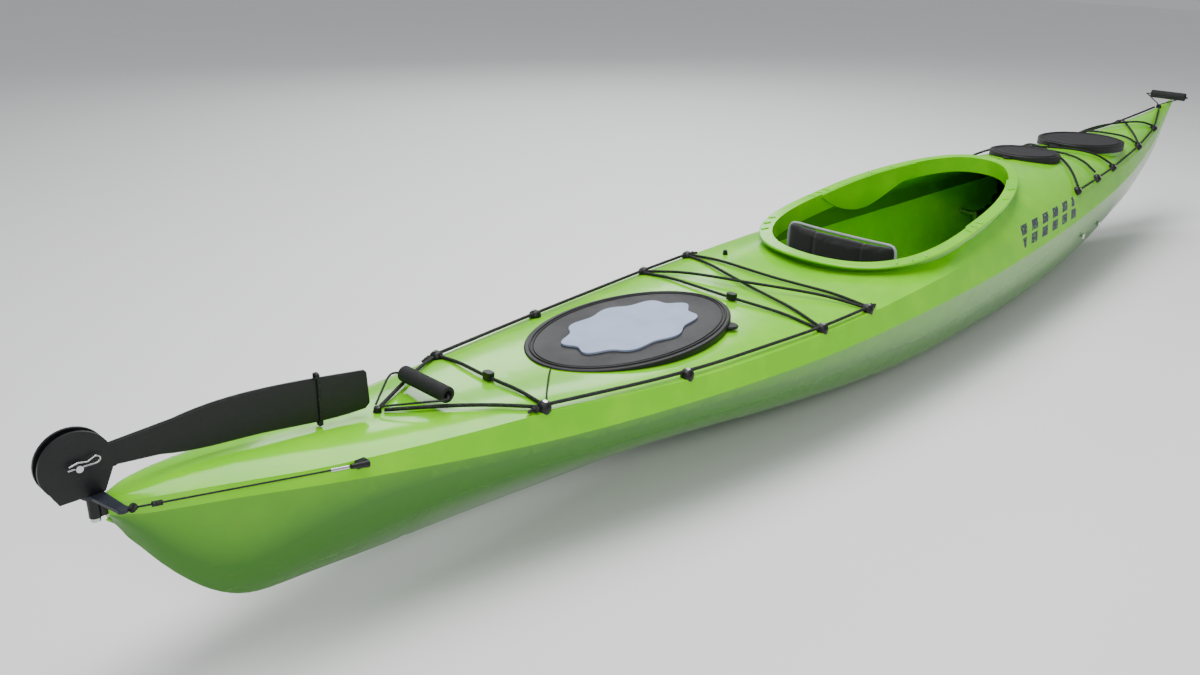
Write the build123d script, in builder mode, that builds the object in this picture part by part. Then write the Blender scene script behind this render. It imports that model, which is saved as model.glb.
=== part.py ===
"""Sit-in touring kayak with a stowed rudder, as an assembly of separate pieces.

+X runs to the bow, +Y to port, +Z up. The keel's flat stands on z = 0, and the origin is midway
between the rudder head and the bow tip. All sizes are in millimetres.
"""

from build123d import *
import os
from bisect import bisect_right
from math import cos, hypot, pi, radians, sin, tan

os.makedirs("parts", exist_ok=True)

# ---------------------------------------------------------------- driving dimensions
HULL_LENGTH = 4293.0  # stern end to bow tip
BEAM = 600.0  # widest, at the seam
HULL_HEIGHT = 447.0  # keel flat to bow tip
STERN_X = -2106.0  # aft end of the hull
WALL = 5.0  # thickness of both shells
SEAM_GAP = 0.5  # bond line between the two shells
SEAT_GAP = 0.4  # a fitting stands this far off the shell that it is bonded to
KEEL_TRIM = 1.5  # how much of the keel is planed off to make its flat

COCKPIT_LENGTH, COCKPIT_WIDTH = 952.0, 496.0  # over the coaming's lip
COCKPIT_X, COCKPIT_Z, COCKPIT_TILT = 86.0, 380.0, 7.4
LIP_WIDTH, LIP_THICKNESS, RISER = 30.0, 8.0, 6.0

CORD = 7.0  # deck line and bungee
CORD_LIFT = 9.0  # centre of a deck cord above the deck
GUIDE_RADIUS, GUIDE_HEIGHT, GUIDE_SKIRT, GUIDE_INSET = 13.5, 15.5, 5.0, 11.0

RUDDER_X, RUDDER_Z = -2137.0, 396.0  # the pin that the blade lifts about
STEER_X = -2121.0  # the upright pin that the rudder steers about
HEAD_RADIUS, SHEAVE_RADIUS, SHEAVE_WIDTH, CHEEK = 50.0, 38.0, 11.0, 5.0
BLADE_THICKNESS = 8.0
YOKE_REACH = 71.0  # steering pin to each cable eye

SEAT_WIDTH, SEAT_LENGTH, SEAT_HEIGHT = 350.0, 330.0, 74.0
RAIL_Y, RAIL_Z = 138.0, 176.0
TOGGLE_RADIUS, TOGGLE_BORE, TOGGLE_LENGTH = 15.0, 8.0, 128.0

LENGTH_SCALE = HULL_LENGTH / 4293.0
BREADTH_SCALE = BEAM / 600.0
HEIGHT_SCALE = HULL_HEIGHT / 447.0


def along(x):
    """A place along the hull, from its place on a hull of the table's length."""
    return STERN_X + (x + 2106.0) * LENGTH_SCALE


# ---------------------------------------------------------------- table of offsets
# station, keel height, seam half-breadth and height, deck-edge half-breadth and height,
# crown height, deadrise, bilge fullness, rise of the deck at its edge
OFFSETS = [
    (-2106, 300, 12, 308, 12, 326, 334, 62, 1.00, 50),
    (-2075, 246, 34, 306, 31, 328, 338, 60, 1.00, 45),
    (-2030, 180, 52, 304, 48, 327, 342, 58, 1.00, 40),
    (-1960, 110, 72, 299, 66, 322, 342, 56, 0.95, 35),
    (-1850, 86, 98, 286, 91, 311, 333, 52, 0.95, 30),
    (-1650, 74, 136, 262, 124, 297, 312, 48, 0.90, 25),
    (-1400, 58, 184, 242, 166, 290, 296, 44, 0.90, 15),
    (-1091, 36, 243, 237, 228, 279, 284, 38, 0.95, 10),
    (-700, 10, 287, 234, 269, 280, 288, 25, 1.25, 10),
    (-300, 0, 295, 235, 276, 290, 298, 13, 1.55, 15),
    (100, 0, 286, 239, 262, 302, 366, 9, 1.60, 55),
    (500, 0, 260, 248, 236, 312, 410, 10, 1.60, 60),
    (850, 3, 228, 260, 206, 318, 404, 17, 1.45, 60),
    (1200, 12, 186, 276, 168, 328, 388, 31, 1.20, 55),
    (1550, 55, 132, 303, 122, 346, 386, 48, 0.90, 50),
    (1850, 145, 76, 344, 70, 372, 406, 60, 0.80, 45),
    (2050, 258, 32, 384, 29, 402, 428, 62, 0.80, 40),
    (2187, 425, 6, 436, 6, 440, 447, 62, 0.80, 40),
]
SCALES = (0, HEIGHT_SCALE, BREADTH_SCALE, HEIGHT_SCALE, BREADTH_SCALE, HEIGHT_SCALE, HEIGHT_SCALE, 1, 1, 1)


def table_slope(column, row):
    """How fast a column changes at a row: the neighbours' slopes, the nearer one weighing more."""
    last = len(OFFSETS) - 1
    low, high = max(row - 1, 0), min(row + 1, last)
    ahead = OFFSETS[min(row, last - 1) + 1]
    here = OFFSETS[min(row, last - 1)]
    forward = (ahead[column] - here[column]) / (ahead[0] - here[0])
    if low == row or high == row:
        return forward
    before = OFFSETS[low]
    behind = (OFFSETS[row][column] - before[column]) / (OFFSETS[row][0] - before[0])
    near, far = OFFSETS[row][0] - before[0], ahead[0] - OFFSETS[row][0]
    return (behind * far + forward * near) / (near + far)


def offset_at(column, station):
    """A column of the table at any station, as a smooth curve through its rows."""
    stations = [row[0] for row in OFFSETS]
    row = min(max(bisect_right(stations, station) - 1, 0), len(OFFSETS) - 2)
    span = stations[row + 1] - stations[row]
    u = (station - stations[row]) / span
    start, end = OFFSETS[row][column], OFFSETS[row + 1][column]
    leave, arrive = table_slope(column, row) * span, table_slope(column, row + 1) * span
    return (
        (2 * u**3 - 3 * u**2 + 1) * start
        + (u**3 - 2 * u**2 + u) * leave
        + (3 * u**2 - 2 * u**3) * end
        + (u**3 - u**2) * arrive
    )


def bezier(points, t):
    """A point of a cubic Bezier curve."""
    a, b, c, d = points
    s = 1 - t
    return tuple(s**3 * a[i] + 3 * s * s * t * b[i] + 3 * s * t * t * c[i] + t**3 * d[i] for i in (0, 1))


class Section:
    """The hull's port half at one place, as (y, z) points, set in by a wall."""

    def __init__(self, x, wall=0.0):
        station = (x - STERN_X) / LENGTH_SCALE - 2106.0
        values = [offset_at(c, station) * SCALES[c] for c in range(1, 10)]
        keel, seam_y, seam_z, edge_y, edge_z, crown, deadrise, fullness, rise = values
        if wall:
            near = offset_at(1, station - 2), offset_at(1, station + 2)
            lift = hypot(1, (near[1] - near[0]) / 4 * HEIGHT_SCALE / LENGTH_SCALE)
        else:
            lift = 1.0
        half_flat = min(26.0, 0.25 * seam_y)
        self.keel = (half_flat, keel - KEEL_TRIM + wall * lift)
        self.seam = (seam_y - wall, seam_z)
        self.edge = (edge_y - wall, edge_z - 0.3 * wall)
        self.crown = (0.0, crown - wall)
        reach = hypot(self.seam[0] - self.keel[0], self.seam[1] - self.keel[1]) * fullness / 3
        angle = radians(deadrise)
        self.bilge = [
            self.keel,
            (self.keel[0] + reach * cos(angle), self.keel[1] + reach * sin(angle)),
            (self.seam[0] - 0.12 * reach, self.seam[1] - reach),
            self.seam,
        ]
        width = hypot(self.edge[0], self.crown[1] - self.edge[1])
        angle = radians(rise)
        self.deck = [
            self.edge,
            (self.edge[0] - 0.4 * width * cos(angle), self.edge[1] + 0.4 * width * sin(angle)),
            (0.45 * width, self.crown[1]),
            self.crown,
        ]

    def height_at(self, y, curve):
        """The height of a curve of the section at a half-breadth."""
        low, high = (0.0, 1.0) if curve[0][0] > curve[3][0] else (1.0, 0.0)
        for _ in range(30):
            middle = (low + high) / 2
            if bezier(curve, middle)[0] > abs(y):
                low = middle
            else:
                high = middle
        return bezier(curve, low)[1]

    def half_breadth_at(self, z):
        """The half-breadth of the bilge at a height."""
        low, high = 0.0, 1.0
        for _ in range(30):
            middle = (low + high) / 2
            if bezier(self.bilge, middle)[1] < z:
                low = middle
            else:
                high = middle
        return bezier(self.bilge, low)[0]


def deck_height(x, y):
    return Section(x).height_at(y, Section(x).deck)


def deck_plane(x, y, above=0.0):
    """A plane on the deck at a place, its z out of the deck and its x toward the bow."""
    height = deck_height(x, y)
    ahead = Vector(10, 0, deck_height(x + 10, y) - height)
    across = Vector(0, 4, deck_height(x, y + 2) - deck_height(x, y - 2))
    normal = ahead.cross(across).normalized()
    return Plane(Vector(x, y, height) + normal * above, x_dir=ahead, z_dir=normal)


# ---------------------------------------------------------------- working solids
def hull_form(places, wall):
    """The closed form of the hull through sections at the given places."""
    with BuildPart() as form:
        for x in places:
            section = Section(x, wall)
            with BuildSketch(Plane.YZ.offset(x)):
                with BuildLine():
                    k, s, e, c = section.keel, section.seam, section.edge, section.crown
                    Line((-k[0], k[1]), k)
                    Bezier(*section.bilge)
                    Line(s, e)
                    Bezier(*section.deck)
                    Bezier(*[(-y, z) for y, z in reversed(section.deck)])
                    Line((-e[0], e[1]), (-s[0], s[1]))
                    Bezier(*[(-y, z) for y, z in reversed(section.bilge)])
                make_face()
        loft()
    return form.part


def between(first, last, count):
    return [first + (last - first) * i / count for i in range(count + 1)]


STERN_STATIONS, BOW_STATIONS = [-2106, -2100, -2090, -2075, -2050, -2020, -1985, -1930], [1950, 2050, 2130, 2187]
FORM_STATIONS = STERN_STATIONS + between(-1850, 1850, 25) + BOW_STATIONS
HOLLOW_STATIONS = [-2078, -2050, -2010, -1960] + between(-1850, 1850, 25) + [1950, 2040, 2100]
outer_form = hull_form([along(x) for x in FORM_STATIONS], 0.0)
inner_form = hull_form([along(x) for x in HOLLOW_STATIONS], WALL)
BOX = 2 * HULL_LENGTH
floor_block = Pos(0, 0, -BOX / 2) * Box(BOX, BOX, BOX)
outer_form = outer_form - floor_block
raised_form = Pos(0, 0, SEAT_GAP) * outer_form


def seam_block(gap, top):
    """Everything above the seam (top True) or below it, less half the bond line."""
    reach = HULL_LENGTH
    places = [along(x) for x in [-2106, -2075, -2030, -1960] + between(-1850, 1850, 20) + [1950, 2050, 2187]]
    side = 1 if top else -1
    points = [(x, Section(x).seam[1] + side * gap / 2) for x in places]
    far = points[0][1] + side * reach
    with BuildPart() as block:
        with BuildSketch(Plane.XZ):
            with BuildLine():
                Polyline(points[0], (points[0][0] - 100, points[0][1]), (points[0][0] - 100, far))
                Line((points[0][0] - 100, far), (points[-1][0] + 100, far))
                Polyline((points[-1][0] + 100, far), (points[-1][0] + 100, points[-1][1]), points[-1])
                Spline(*points)
            make_face()
        extrude(amount=BEAM, both=True)
    return block.part


def egg_points(half_length, half_width, taper, power, count=28):
    """Points of an oval that is blunter than an ellipse and narrower ahead."""
    points = []
    for i in range(count):
        angle = 2 * pi * (i + 0.5) / count
        c, s = cos(angle), sin(angle)
        x = half_length * (1 if c > 0 else -1) * abs(c) ** (2 / power)
        y = half_width * (1 if s > 0 else -1) * abs(s) ** (2 / power) * (1 - taper * c)
        points.append((x, y))
    return points


def tilted(x, z, tilt):
    """A plane across the boat at (x, 0, z), its front raised by the tilt."""
    a = radians(tilt)
    return Plane((x, 0, z), x_dir=(cos(a), 0, sin(a)), z_dir=(-sin(a), 0, cos(a)))


# ---------------------------------------------------------------- cockpit coaming
coaming_plane = tilted(COCKPIT_X, COCKPIT_Z, COCKPIT_TILT)
EGG, SQUARENESS = 0.25, 2.5


def coaming_oval(inset):
    """The coaming's outline, set in by a distance."""
    return egg_points(COCKPIT_LENGTH / 2 - inset, COCKPIT_WIDTH / 2 - inset, EGG, SQUARENESS)


def oval_prism(plane, points, bottom, top):
    """An upright prism on a plane, from one height to another."""
    with BuildPart() as prism:
        with BuildSketch(plane.offset(bottom)):
            with BuildLine():
                Spline(*points, periodic=True)
            make_face()
        extrude(amount=top - bottom)
    return prism.part


RISER_DEPTH = 150.0
cockpit_hole = oval_prism(coaming_plane, coaming_oval(LIP_WIDTH - RISER - SEAT_GAP), -260, 120)
riser_outer = oval_prism(coaming_plane, coaming_oval(LIP_WIDTH - RISER), -RISER_DEPTH, -LIP_THICKNESS / 2)
riser_inner = oval_prism(coaming_plane, coaming_oval(LIP_WIDTH), -RISER_DEPTH - 60, 40)
SLEEVE = 14.0  # how far the coaming and hatch rims pass below the deck's skin
lowered_form = Pos(0, 0, -WALL - SLEEVE) * outer_form

with BuildPart() as cockpit_coaming:
    add(riser_outer - lowered_form)
    with BuildSketch(coaming_plane.offset(-LIP_THICKNESS)):
        with BuildLine():
            Spline(*coaming_oval(0), periodic=True)
        make_face()
    extrude(amount=LIP_THICKNESS)
    fillet(cockpit_coaming.edges().group_by(SortBy.LENGTH)[-1], LIP_THICKNESS * 0.4)
    add(riser_inner, mode=Mode.SUBTRACT)


# ---------------------------------------------------------------- hatches
class Hatch:
    """An oval hatch: its place, its lid's half length and half width, and its tilt."""

    def __init__(self, x, z, half_length, half_width, tilt, lid_height):
        self.half_length, self.half_width = half_length, half_width
        self.plane = tilted(along(x), z * HEIGHT_SCALE, tilt)
        self.lid_height = lid_height

    def prism(self, inset, bottom, top):
        points = egg_points(self.half_length - inset, self.half_width - inset, 0.0, 2.0)
        return oval_prism(self.plane, points, bottom, top)


LID_TOP, LID_SKIRT, LID_FIT, RIM_WALL = 6.0, 6.0, 0.6, 6.0
RIM_INSET = LID_SKIRT + LID_FIT
hatches = {
    "rear": Hatch(-1018, 301, 261, 168, 1.5, 24),
    "day": Hatch(836, 419, 107, 108, -1.6, 24),
    "front": Hatch(1296, 400, 171, 136, -2.0, 24),
}
rims, lids = {}, {}
for hatch_name, hatch in hatches.items():
    tube = hatch.prism(RIM_INSET, -110, -LID_TOP - LID_FIT) - hatch.prism(RIM_INSET + RIM_WALL, -140, 10)
    rims[hatch_name] = tube - lowered_form
    cap = hatch.prism(0, -hatch.lid_height, 0)
    top_edge = cap.edges().sort_by(Axis(hatch.plane.origin, hatch.plane.z_dir))[-1]
    cap = fillet([top_edge], 3.5)
    cap = cap - hatch.prism(LID_SKIRT, -hatch.lid_height - 10, -LID_TOP)
    lids[hatch_name] = cap - Pos(0, 0, 1.5) * outer_form

# ---------------------------------------------------------------- shells
with BuildPart() as hull_shell:
    add(outer_form)
    add(inner_form, mode=Mode.SUBTRACT)
    add(seam_block(SEAM_GAP, False), mode=Mode.INTERSECT)

with BuildPart() as deck_shell:
    add(outer_form)
    add(inner_form, mode=Mode.SUBTRACT)
    add(seam_block(SEAM_GAP, True), mode=Mode.INTERSECT)
    add(cockpit_hole, mode=Mode.SUBTRACT)
    for hatch in hatches.values():
        add(hatch.prism(RIM_INSET - SEAT_GAP, -150, 60), mode=Mode.SUBTRACT)

# ---------------------------------------------------------------- bulkheads
def bulkhead(x, thickness=12.0):
    """A foam wall that fills the hull at a place, just clear of the skin."""
    return hull_form([along(x), along(x) + thickness / 2, along(x) + thickness], WALL + 0.6)


aft_bulkhead = bulkhead(-440)
fore_bulkhead = bulkhead(1100)

# ---------------------------------------------------------------- seat
SEAT_BACK = along(-230)
PAN, DISH, SEAT_WALL = 8.0, 16.0, 20.0
half_seat = SEAT_WIDTH / 2
with BuildPart() as seat_pan:
    with BuildSketch(Plane.YZ.offset(SEAT_BACK)):
        with BuildLine():
            inside = half_seat - SEAT_WALL
            Polyline((-inside, SEAT_HEIGHT - PAN), (-inside, -20), (-half_seat, -20), (-half_seat, SEAT_HEIGHT))
            ThreePointArc((-half_seat, SEAT_HEIGHT), (0, SEAT_HEIGHT - DISH), (half_seat, SEAT_HEIGHT))
            Polyline((half_seat, SEAT_HEIGHT), (half_seat, -20), (inside, -20), (inside, SEAT_HEIGHT - PAN))
            ThreePointArc((inside, SEAT_HEIGHT - PAN), (0, SEAT_HEIGHT - DISH - PAN), (-inside, SEAT_HEIGHT - PAN))
        make_face()
    extrude(amount=SEAT_LENGTH)
    add(Pos(0, 0, SEAT_GAP) * inner_form, mode=Mode.INTERSECT)

PAD, PAD_INSET = 14.0, 15.0
with BuildPart() as seat_pad:
    with BuildSketch(Plane.YZ.offset(SEAT_BACK + PAD_INSET)):
        with BuildLine():
            half_pad = half_seat - PAD_INSET
            low = SEAT_HEIGHT - DISH + SEAT_GAP
            rise = DISH * (half_pad / half_seat) ** 2
            ThreePointArc((-half_pad, low + rise), (0, low), (half_pad, low + rise))
            Line((half_pad, low + rise), (half_pad, low + rise + PAD))
            ThreePointArc((half_pad, low + rise + PAD), (0, low + PAD), (-half_pad, low + rise + PAD))
            Line((-half_pad, low + rise + PAD), (-half_pad, low + rise))
        make_face()
    extrude(amount=SEAT_LENGTH - 2 * PAD_INSET)
    fillet(seat_pad.edges().group_by(Axis.X)[0] + seat_pad.edges().group_by(Axis.X)[-1], 4)

# ---------------------------------------------------------------- backrest
BACK_RADIUS, BACK_THICKNESS, BACK_HALF_ANGLE = 700.0, 26.0, 13.2
BACK_BOTTOM, BACK_TOP, BACK_X = 160.0, 356.0, SEAT_BACK + 708.0
FRAME_HALF_ANGLE = 8.0
PIVOT_X, PIVOT_Z, PIVOT_RADIUS = SEAT_BACK - 32.0, 112.0, 6.0
PIPING = 7.0


def back_sector(inner, outer, half_angle, bottom, top):
    """A curved upright panel about the sitter's back."""
    with BuildPart() as panel:
        with BuildSketch(Plane.XY.offset(bottom)):
            with BuildLine():
                for radius in (inner, outer):
                    CenterArc((BACK_X, 0), radius, 180 - half_angle, 2 * half_angle)
                for side in (-1, 1):
                    angle = radians(180 + side * half_angle)
                    Line(
                        (BACK_X + inner * cos(angle), inner * sin(angle)),
                        (BACK_X + outer * cos(angle), outer * sin(angle)),
                    )
            make_face()
        extrude(amount=top - bottom)
    return panel.part


with BuildPart() as backrest_pad:
    back_outer = BACK_RADIUS + BACK_THICKNESS
    add(back_sector(BACK_RADIUS, back_outer, BACK_HALF_ANGLE, BACK_BOTTOM, BACK_TOP - PIPING))
    fillet(backrest_pad.edges().filter_by(Axis.Z), 8)
    fillet(backrest_pad.edges().group_by(Axis.Z)[0], 4)

with BuildPart() as backrest_piping:
    middle = BACK_RADIUS + BACK_THICKNESS / 2
    piping_angle = BACK_HALF_ANGLE - 0.8
    with BuildLine(Plane.XY.offset(BACK_TOP - PIPING / 2 + SEAT_GAP)):
        run = CenterArc((BACK_X, 0), middle, 180 - piping_angle, 2 * piping_angle)
    with BuildSketch(Plane(origin=run @ 0, z_dir=run % 0)):
        Circle(PIPING / 2)
    sweep()

FRAME_RADIUS = BACK_RADIUS + BACK_THICKNESS + SEAT_GAP
FRAME, LUG_Y, LUG = 5.0, 60.0, 8.0
with BuildPart() as backrest_frame:
    add(back_sector(FRAME_RADIUS, FRAME_RADIUS + FRAME, FRAME_HALF_ANGLE, BACK_BOTTOM - 12, BACK_BOTTOM + 80))
    lug_back = BACK_X - FRAME_RADIUS - 1
    for side in (-1, 1):
        with BuildSketch(Plane.XZ.offset(side * LUG_Y - LUG / 2)):
            with BuildLine():
                Polyline(
                    (PIVOT_X - 13, PIVOT_Z - 6), (PIVOT_X + 6, PIVOT_Z - 13), (PIVOT_X + 13, PIVOT_Z),
                    (lug_back + 4, BACK_BOTTOM - 2), (lug_back - 8, BACK_BOTTOM - 2), (PIVOT_X - 12, PIVOT_Z + 8),
                    close=True,
                )
            make_face()
        extrude(amount=LUG)
    with Locations((PIVOT_X, 0, PIVOT_Z)):
        Cylinder(PIVOT_RADIUS + 0.08, 300, rotation=(90, 0, 0), mode=Mode.SUBTRACT)

BRACKET_Y, BRACKET = 76.0, 8.0
with BuildPart() as backrest_bracket:
    for side in (-1, 1):
        with BuildSketch(Plane.XZ.offset(side * BRACKET_Y - BRACKET / 2)):
            with BuildLine():
                Polyline(
                    (SEAT_BACK - SEAT_GAP, SEAT_HEIGHT - 30), (SEAT_BACK - SEAT_GAP, SEAT_HEIGHT),
                    (PIVOT_X + 14, PIVOT_Z + 4), (PIVOT_X + 4, PIVOT_Z + 13), (PIVOT_X - 10, PIVOT_Z + 9),
                    (PIVOT_X - 12, PIVOT_Z - 8), close=True,
                )
            make_face()
        extrude(amount=BRACKET)
    with Locations((PIVOT_X, 0, PIVOT_Z)):
        Cylinder(PIVOT_RADIUS, 300, rotation=(90, 0, 0), mode=Mode.SUBTRACT)

with BuildPart() as backrest_pivot:
    with Locations((PIVOT_X, 0, PIVOT_Z)):
        Cylinder(PIVOT_RADIUS, 2 * BRACKET_Y + BRACKET + 6, rotation=(90, 0, 0))

# ---------------------------------------------------------------- foot braces
RAIL_START, RAIL_END, RAIL_WIDTH, RAIL_DEPTH = along(845), along(1090), 14.0, 24.0
with BuildPart() as foot_brace_rails:
    for side in (-1, 1):
        with Locations(((RAIL_START + RAIL_END) / 2, side * RAIL_Y, RAIL_Z)):
            Box(RAIL_END - RAIL_START, RAIL_WIDTH, RAIL_DEPTH)
    fillet(foot_brace_rails.edges().filter_by(Axis.X), 2)

BOLT, BOLT_HEAD, SPACER = 4.0, 9.0, 9.0
bolt_places = [along(872), along(1064)]
with BuildPart() as foot_brace_bolts:
    for x in bolt_places:
        inside = Section(x + SPACER, WALL).half_breadth_at(RAIL_Z - SPACER) - 3
        outside = Section(x - BOLT_HEAD).half_breadth_at(RAIL_Z + BOLT_HEAD) + SEAT_GAP
        start = RAIL_Y + RAIL_WIDTH / 2 + 0.3
        for side in (-1, 1):
            shank = (BOLT, start, outside + 2)
            for radius, near, far in ((SPACER, start, inside), shank, (BOLT_HEAD, outside, outside + 4)):
                with Locations((x, side * (near + far) / 2, RAIL_Z)):
                    Cylinder(radius, far - near, rotation=(90, 0, 0))
bolt_holes = [
    Pos(x, side * Section(x).half_breadth_at(RAIL_Z), RAIL_Z) * Rot(90, 0, 0) * Cylinder(BOLT + 0.5, 60)
    for x in bolt_places
    for side in (-1, 1)
]

with BuildPart() as drilled_hull:
    add(hull_shell.part)
    add(bolt_holes, mode=Mode.SUBTRACT)

PEDAL_X, PEDAL_WIDTH, PEDAL_HEIGHT, PEDAL_THICKNESS = along(960), 74.0, 118.0, 10.0
SLIDER, SLIDER_WALL, SLIDE_FIT = 58.0, 7.0, 0.6


def pedal(side):
    """A foot pedal on the slider that runs along its rail."""
    with BuildPart() as made:
        inner_y = RAIL_Y - RAIL_WIDTH / 2 - SLIDE_FIT - SLIDER_WALL
        outer_y = RAIL_Y + RAIL_WIDTH / 2 - 2
        with Locations((PEDAL_X, side * (inner_y + outer_y) / 2, RAIL_Z)):
            Box(SLIDER, outer_y - inner_y, RAIL_DEPTH + 2 * (SLIDE_FIT + SLIDER_WALL))
        with Locations((PEDAL_X, side * RAIL_Y, RAIL_Z)):
            Box(2 * SLIDER, RAIL_WIDTH + 2 * SLIDE_FIT, RAIL_DEPTH + 2 * SLIDE_FIT, mode=Mode.SUBTRACT)
        pedal_y = side * (inner_y - PEDAL_WIDTH / 2 + 2)
        with Locations((PEDAL_X - SLIDER / 2 + PEDAL_THICKNESS / 2, pedal_y, RAIL_Z + 8)):
            Box(PEDAL_THICKNESS, PEDAL_WIDTH, PEDAL_HEIGHT)
        fillet(made.edges().filter_by(Axis.X).group_by(Axis.Z)[-1], 14)
        for z in (-30, -15, 0, 15, 30):
            with Locations((PEDAL_X - SLIDER / 2 - 1, side * (inner_y - PEDAL_WIDTH / 2), RAIL_Z + 8 + z)):
                Box(3, PEDAL_WIDTH - 16, 4)
    return made.part


port_pedal, starboard_pedal = pedal(1), pedal(-1)

# ---------------------------------------------------------------- thigh braces
FLANGE = 5.0  # thickness of the thigh flanges
with BuildPart() as thigh_braces:
    add(oval_prism(coaming_plane, coaming_oval(LIP_WIDTH + SEAT_GAP), -130, -1))
    add(oval_prism(coaming_plane, coaming_oval(LIP_WIDTH + SEAT_GAP + FLANGE), -140, 10), mode=Mode.SUBTRACT)
    with BuildSketch(Plane.XZ.offset(-COCKPIT_WIDTH / 2)):
        with BuildLine():
            Spline((15, 362), (70, 332), (150, 306), (215, 302), (280, 322), (335, 352), (400, 382))
            Polyline((400, 382), (400, 480), (15, 480), (15, 362))
        make_face()
    extrude(amount=COCKPIT_WIDTH, mode=Mode.INTERSECT)


# ---------------------------------------------------------------- deck guides
def guide_place(station, side):
    """Where a guide stands: a little inside the deck's edge."""
    x = along(station)
    return x, side * (Section(x).edge[0] - GUIDE_INSET)


AFT_GUIDES = [-1408, -1092, -693, -521]
FORE_GUIDES = [784, 991, 1177, 1538, 1828]
guide_places = [guide_place(s, side) for s in AFT_GUIDES + FORE_GUIDES for side in (-1, 1)]
SCREW_RADIUS, SCREW_HEIGHT = 4.2, 1.6

with BuildPart() as deck_guides:
    for x, y in guide_places:
        seat = deck_plane(x, y)
        with BuildSketch(Plane(seat.origin, x_dir=seat.x_dir, z_dir=-seat.y_dir)):
            with BuildLine():
                Polyline((0, GUIDE_HEIGHT), (0, -GUIDE_SKIRT), (GUIDE_RADIUS, -GUIDE_SKIRT), (GUIDE_RADIUS, 5))
                TangentArc((GUIDE_RADIUS, 5), (SCREW_RADIUS + 1, GUIDE_HEIGHT), tangent=(0, 1))
                Line((SCREW_RADIUS + 1, GUIDE_HEIGHT), (0, GUIDE_HEIGHT))
            make_face()
        revolve(axis=Axis(seat.origin, seat.z_dir))
    add(raised_form, mode=Mode.SUBTRACT)

with BuildPart() as guide_screws:
    for x, y in guide_places:
        with BuildSketch(deck_plane(x, y, GUIDE_HEIGHT)):
            Circle(SCREW_RADIUS)
        extrude(amount=SCREW_HEIGHT)


# ---------------------------------------------------------------- deck cords
def on_deck(x, y, lift):
    """A point over the deck, a lift out from its surface."""
    return deck_plane(x, y, lift).origin


def cord_along(points, diameter, name):
    """A round cord through points: straight runs joined by arcs as large as the runs allow."""
    points = [Vector(*p) for p in points]
    runs = [b - a for a, b in zip(points, points[1:])]
    radii = []
    for first, second in zip(runs, runs[1:]):
        turn = radians(first.get_angle(second))
        radii.append(0.45 * min(first.length, second.length) / tan(turn / 2))
    with BuildPart() as cord:
        with BuildLine():
            path = FilletPolyline(*points, radius=radii) if radii else Line(*points)
        with BuildSketch(Plane(origin=path @ 0, z_dir=path % 0)):
            Circle(diameter / 2)
        sweep()
    expected = pi * diameter**2 / 4 * path.length
    least = min(radii) if radii else 0
    print(f"{name}: {len(points)} points, least radius {least:.0f}, volume {cord.part.volume / expected:.3f}")
    return cord.part


def lash(start, end, first_lift, last_lift, crown, count, name):
    """A tight cord over the deck between two places, bowed up a little at its middle."""
    points = []
    for i in range(count + 1):
        t = i / count
        x, y = start[0] + (end[0] - start[0]) * t, start[1] + (end[1] - start[1]) * t
        low = first_lift + (last_lift - first_lift) * t
        points.append(on_deck(x, y, low + crown * 4 * t * (1 - t)))
    return cord_along(points, CORD, name)


def join(pieces):
    return Compound(children=list(pieces))


def guide_side(station, side, ahead, inboard):
    x, y = guide_place(station, side)
    return x + ahead, y - side * inboard


aft_perimeter_line = join(
    cord_along([on_deck(*guide_place(s, side), CORD_LIFT) for s in AFT_GUIDES], CORD, "aft line")
    for side in (-1, 1)
)
fore_perimeter_line = join(
    cord_along(
        [on_deck(*guide_place(s, side), CORD_LIFT) for s in FORE_GUIDES] + [on_deck(along(2030), side * 7, 7)],
        CORD, "fore line",
    )
    for side in (-1, 1)
)

aft_bungees = join(
    [
        lash(guide_side(-693, -1, -9, 9), guide_side(-693, 1, -9, 9), 5, 5, 2, 6, "aft bungee"),
        lash(guide_side(-521, -1, 9, 9), guide_side(-521, 1, 9, 9), 5, 5, 2, 6, "aft bungee"),
        lash(guide_side(-693, -1, 3, 12), guide_side(-521, 1, -3, 12), 5, 5, 2, 6, "aft bungee"),
        lash(guide_side(-521, -1, -3, 12), guide_side(-693, 1, 3, 12), 6, 6, 10, 6, "aft bungee"),
    ]
)
fore_bungees = join(
    [
        lash(guide_side(784, -1, 8, 8), guide_side(1177, 1, -8, 8), 9, 9, -3, 12, "fore bungee"),
        lash(guide_side(1177, -1, -8, 8), guide_side(784, 1, 8, 8), 9, 9, 5, 12, "fore bungee"),
        lash(guide_side(991, -1, 0, 12), guide_side(991, 1, 0, 12), 9, 9, -3, 10, "fore bungee"),
        lash(guide_side(1538, -1, 8, 8), guide_side(1828, 1, -8, 8), 9, 9, -3, 9, "fore bungee"),
        lash(guide_side(1828, -1, -8, 8), guide_side(1538, 1, 8, 8), 9, 9, 5, 9, "fore bungee"),
        lash(guide_side(1538, -1, -8, 8), guide_side(1538, 1, -8, 8), 9, 9, -2, 8, "fore bungee"),
    ]
)
ANCHOR_X = along(-1650)
stern_lines = join(
    [
        lash((ANCHOR_X + 9, side * 7), guide_side(-1408, side, -12, 5), 5, 6, 3, 4, "stern line")
        for side in (-1, 1)
    ]
    + [lash(guide_side(-1408, -1, 2, 10), guide_side(-1408, 1, 2, 10), 5, 5, 2, 5, "stern bungee")]
)


def deck_button(x, y, radius, height, top_radius):
    """A round moulded fitting that stands on the deck."""
    seat = deck_plane(x, y)
    with BuildPart() as button:
        with BuildSketch(seat.offset(-8)):
            Circle(radius)
        with BuildSketch(seat.offset(height)):
            Circle(top_radius)
        loft()
        add(raised_form, mode=Mode.SUBTRACT)
    return button.part


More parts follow.
